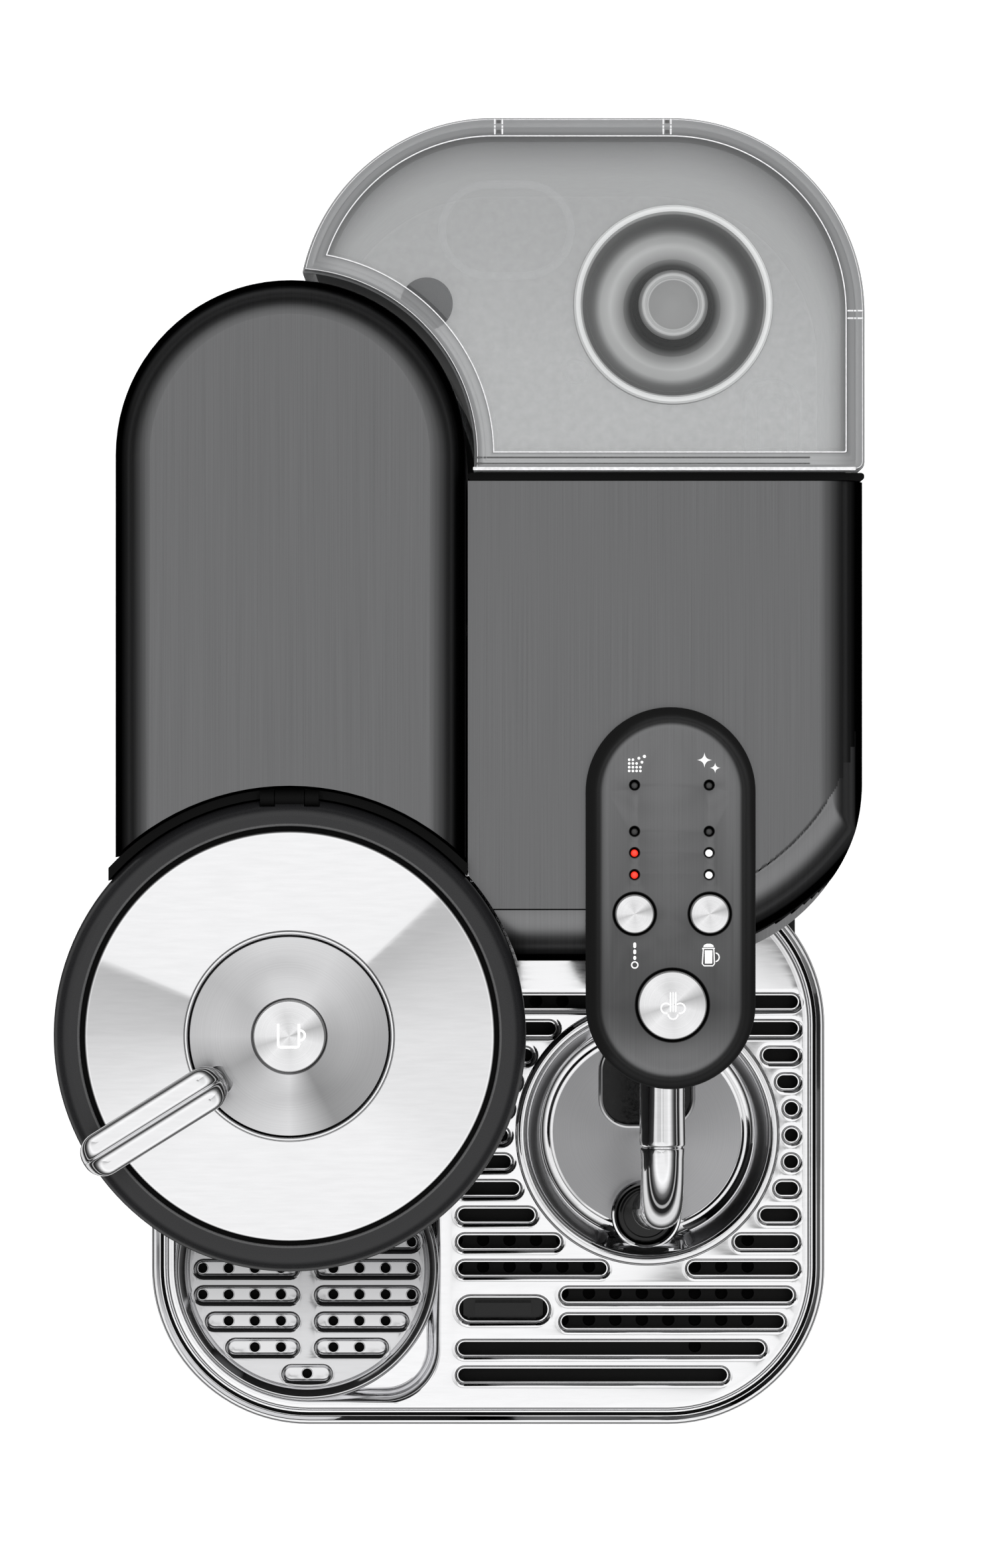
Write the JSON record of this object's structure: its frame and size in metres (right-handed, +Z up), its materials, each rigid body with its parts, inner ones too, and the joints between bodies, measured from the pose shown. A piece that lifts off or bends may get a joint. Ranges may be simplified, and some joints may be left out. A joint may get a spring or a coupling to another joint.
{
  "type": "pod coffee machine",
  "caption": "Countertop pod coffee machine with a hinged round brew head and lock lever, control arm with steam wand, rear water tank and drip tray with jug nest.",
  "frame": {"origin": "middle of the footprint's bounding box, on the surface that the feet stand on", "axes": "+Z up, front (drip tray) towards -Y, +X to the right seen from the front"},
  "size_m": [0.248, 0.421, 0.3181],
  "materials": {
    "dark_steel": "brushed, dark coated",
    "black_gloss": "gloss black",
    "black_plastic": "fine matt",
    "polished_steel": "polished",
    "satin_steel": "circular brushed",
    "mirror_steel": "mirror polished",
    "smoke_clear": "smoke tinted clear",
    "rubber": "matt",
    "grey_plastic": "moulded",
    "cast_alloy": "cast",
    "spring_steel": "drawn wire",
    "zinc_steel": "plated",
    "circuit_green": "solder resist",
    "silicone": "translucent silicone",
    "lens_clear": "moulded lens",
    "white_plastic": "moulded"
  },
  "bodies": {
    "root": {"base_plate": "black_plastic", "feet": "rubber", "base_screws": "zinc_steel", "inner_frame": "zinc_steel", "column_cover": "dark_steel", "head_collar": "black_gloss", "head_hinge_pin": "polished_steel", "body_shell": "dark_steel", "back_strip": "black_gloss", "brew_base": "black_plastic", "holder_bearing": "spring_steel", "drive_motor": "zinc_steel", "drive_belt": "rubber", "coffee_spout": "black_gloss", "arm_cover": "dark_steel", "arm_base": "black_plastic", "status_lights": "lens_clear", "control_board": "circuit_green", "button_switches": "black_plastic", "wand_bracket": "black_plastic", "wand_pivot_pin": "polished_steel", "tank_dock": "rubber", "water_pump": "black_plastic", "flow_meter": "white_plastic", "brew_heater": "cast_alloy", "steam_heater": "cast_alloy", "steam_valve": "white_plastic", "main_board": "circuit_green", "hoses": "silicone", "cord_gland": "rubber"},
    "head": {"head_housing": "black_gloss", "head_plate": "mirror_steel", "head_trim_ring": "polished_steel", "brew_button_spring": "spring_steel", "injector_bearing": "spring_steel"},
    "lock": {"lock_disc": "satin_steel", "lock_lever": "polished_steel"},
    "brew_button": {"brew_button": "satin_steel"},
    "injector": {"injector_plate": "grey_plastic"},
    "holder": {"capsule_holder": "grey_plastic", "holder_pulley": "white_plastic"},
    "rotor": {"motor_pulley": "white_plastic"},
    "container": {"capsule_container": "black_plastic"},
    "steam_button": {"steam_button": "satin_steel"},
    "temperature_button": {"milk_temperature_button": "satin_steel"},
    "foam_button": {"milk_foam_button": "satin_steel"},
    "wand": {"steam_wand": "polished_steel", "wand_tip": "black_plastic"},
    "tank": {"water_tank": "smoke_clear"},
    "valve": {"tank_valve": "black_plastic"},
    "lid": {"tank_lid": "smoke_clear"},
    "tray": {"drip_tray": "polished_steel"},
    "grille": {"drip_grille": "polished_steel", "jug_nest": "polished_steel", "nest_well": "black_gloss", "sensor_seat": "black_plastic", "sensor_spring": "spring_steel"},
    "sensor": {"temperature_sensor": "black_gloss"},
    "cup_support": {"cup_support": "polished_steel"},
    "float": {"float_indicator": "black_gloss"}
  },
  "joints": [
    {"name": "head_hinge", "type": "hinge", "parent": "root", "child": "head", "pos_m": [-0.0519, 0.0022, 0.298], "axis": [-1, 0, 0], "range_deg": [0, 50]},
    {"name": "lever_turn", "type": "hinge", "parent": "head", "child": "lock", "pos_m": [-0.0519, -0.0703, 0.3], "axis": [0, 0, 1], "range_deg": [0, 60]},
    {"name": "brew_button_press", "type": "slide", "parent": "head", "child": "brew_button", "axis": [0, 0, -1], "range_m": [0, 0.0012], "stiffness_N_per_m": 500, "deforming": ["brew_button_spring"]},
    {"name": "injector_spin", "type": "hinge", "parent": "head", "child": "injector", "pos_m": [-0.0519, -0.0703, 0.27], "axis": [0, 0, 1], "continuous": true},
    {"name": "holder_spin", "type": "hinge", "parent": "root", "child": "holder", "pos_m": [-0.0519, -0.0703, 0.24], "axis": [0, 0, 1], "continuous": true},
    {"name": "motor_spin", "type": "hinge", "parent": "root", "child": "rotor", "pos_m": [-0.0519, 0.062, 0.2], "axis": [0, 0, 1], "continuous": true},
    {"name": "container_slide", "type": "slide", "parent": "root", "child": "container", "axis": [0, -1, 0], "range_m": [0, 0.09]},
    {"name": "steam_button_press", "type": "slide", "parent": "root", "child": "steam_button", "axis": [0, 0, -1], "range_m": [0, 0.001], "stiffness_N_per_m": 400},
    {"name": "temperature_button_press", "type": "slide", "parent": "root", "child": "temperature_button", "axis": [0, 0, -1], "range_m": [0, 0.001], "stiffness_N_per_m": 400},
    {"name": "foam_button_press", "type": "slide", "parent": "root", "child": "foam_button", "axis": [0, 0, -1], "range_m": [0, 0.001], "stiffness_N_per_m": 400},
    {"name": "wand_pivot", "type": "hinge", "parent": "root", "child": "wand", "pos_m": [0.063, -0.058, 0.243], "axis": [-1, 0, 0], "range_deg": [0, 25]},
    {"name": "tank_lift", "type": "slide", "parent": "root", "child": "tank", "axis": [0, 0, 1], "range_m": [0, 0.12]},
    {"name": "valve_lift", "type": "slide", "parent": "tank", "child": "valve", "axis": [0, 0, 1], "range_m": [0, 0.003], "stiffness_N_per_m": 60},
    {"name": "lid_lift", "type": "slide", "parent": "tank", "child": "lid", "axis": [0, 0, 1], "range_m": [0, 0.05]},
    {"name": "tray_slide", "type": "slide", "parent": "root", "child": "tray", "axis": [0, -1, 0], "range_m": [0, 0.15]},
    {"name": "grille_lift", "type": "slide", "parent": "tray", "child": "grille", "axis": [0, 0, 1], "range_m": [0, 0.0025]},
    {"name": "sensor_press", "type": "slide", "parent": "grille", "child": "sensor", "axis": [0, 0, -1], "range_m": [0, 0.0015], "stiffness_N_per_m": 400, "deforming": ["sensor_spring"]},
    {"name": "cup_support_lift", "type": "slide", "parent": "grille", "child": "cup_support", "axis": [0, 0, 1], "range_m": [0, 0.05]},
    {"name": "float_rise", "type": "slide", "parent": "tray", "child": "float", "axis": [0, 0, 1], "range_m": [0, 0.005]}
  ],
  "couplings": [
    {"joint": "motor_spin", "follows": "holder_spin", "ratio": 1},
    {"joint": "injector_spin", "follows": "holder_spin", "ratio": 1}
  ]
}
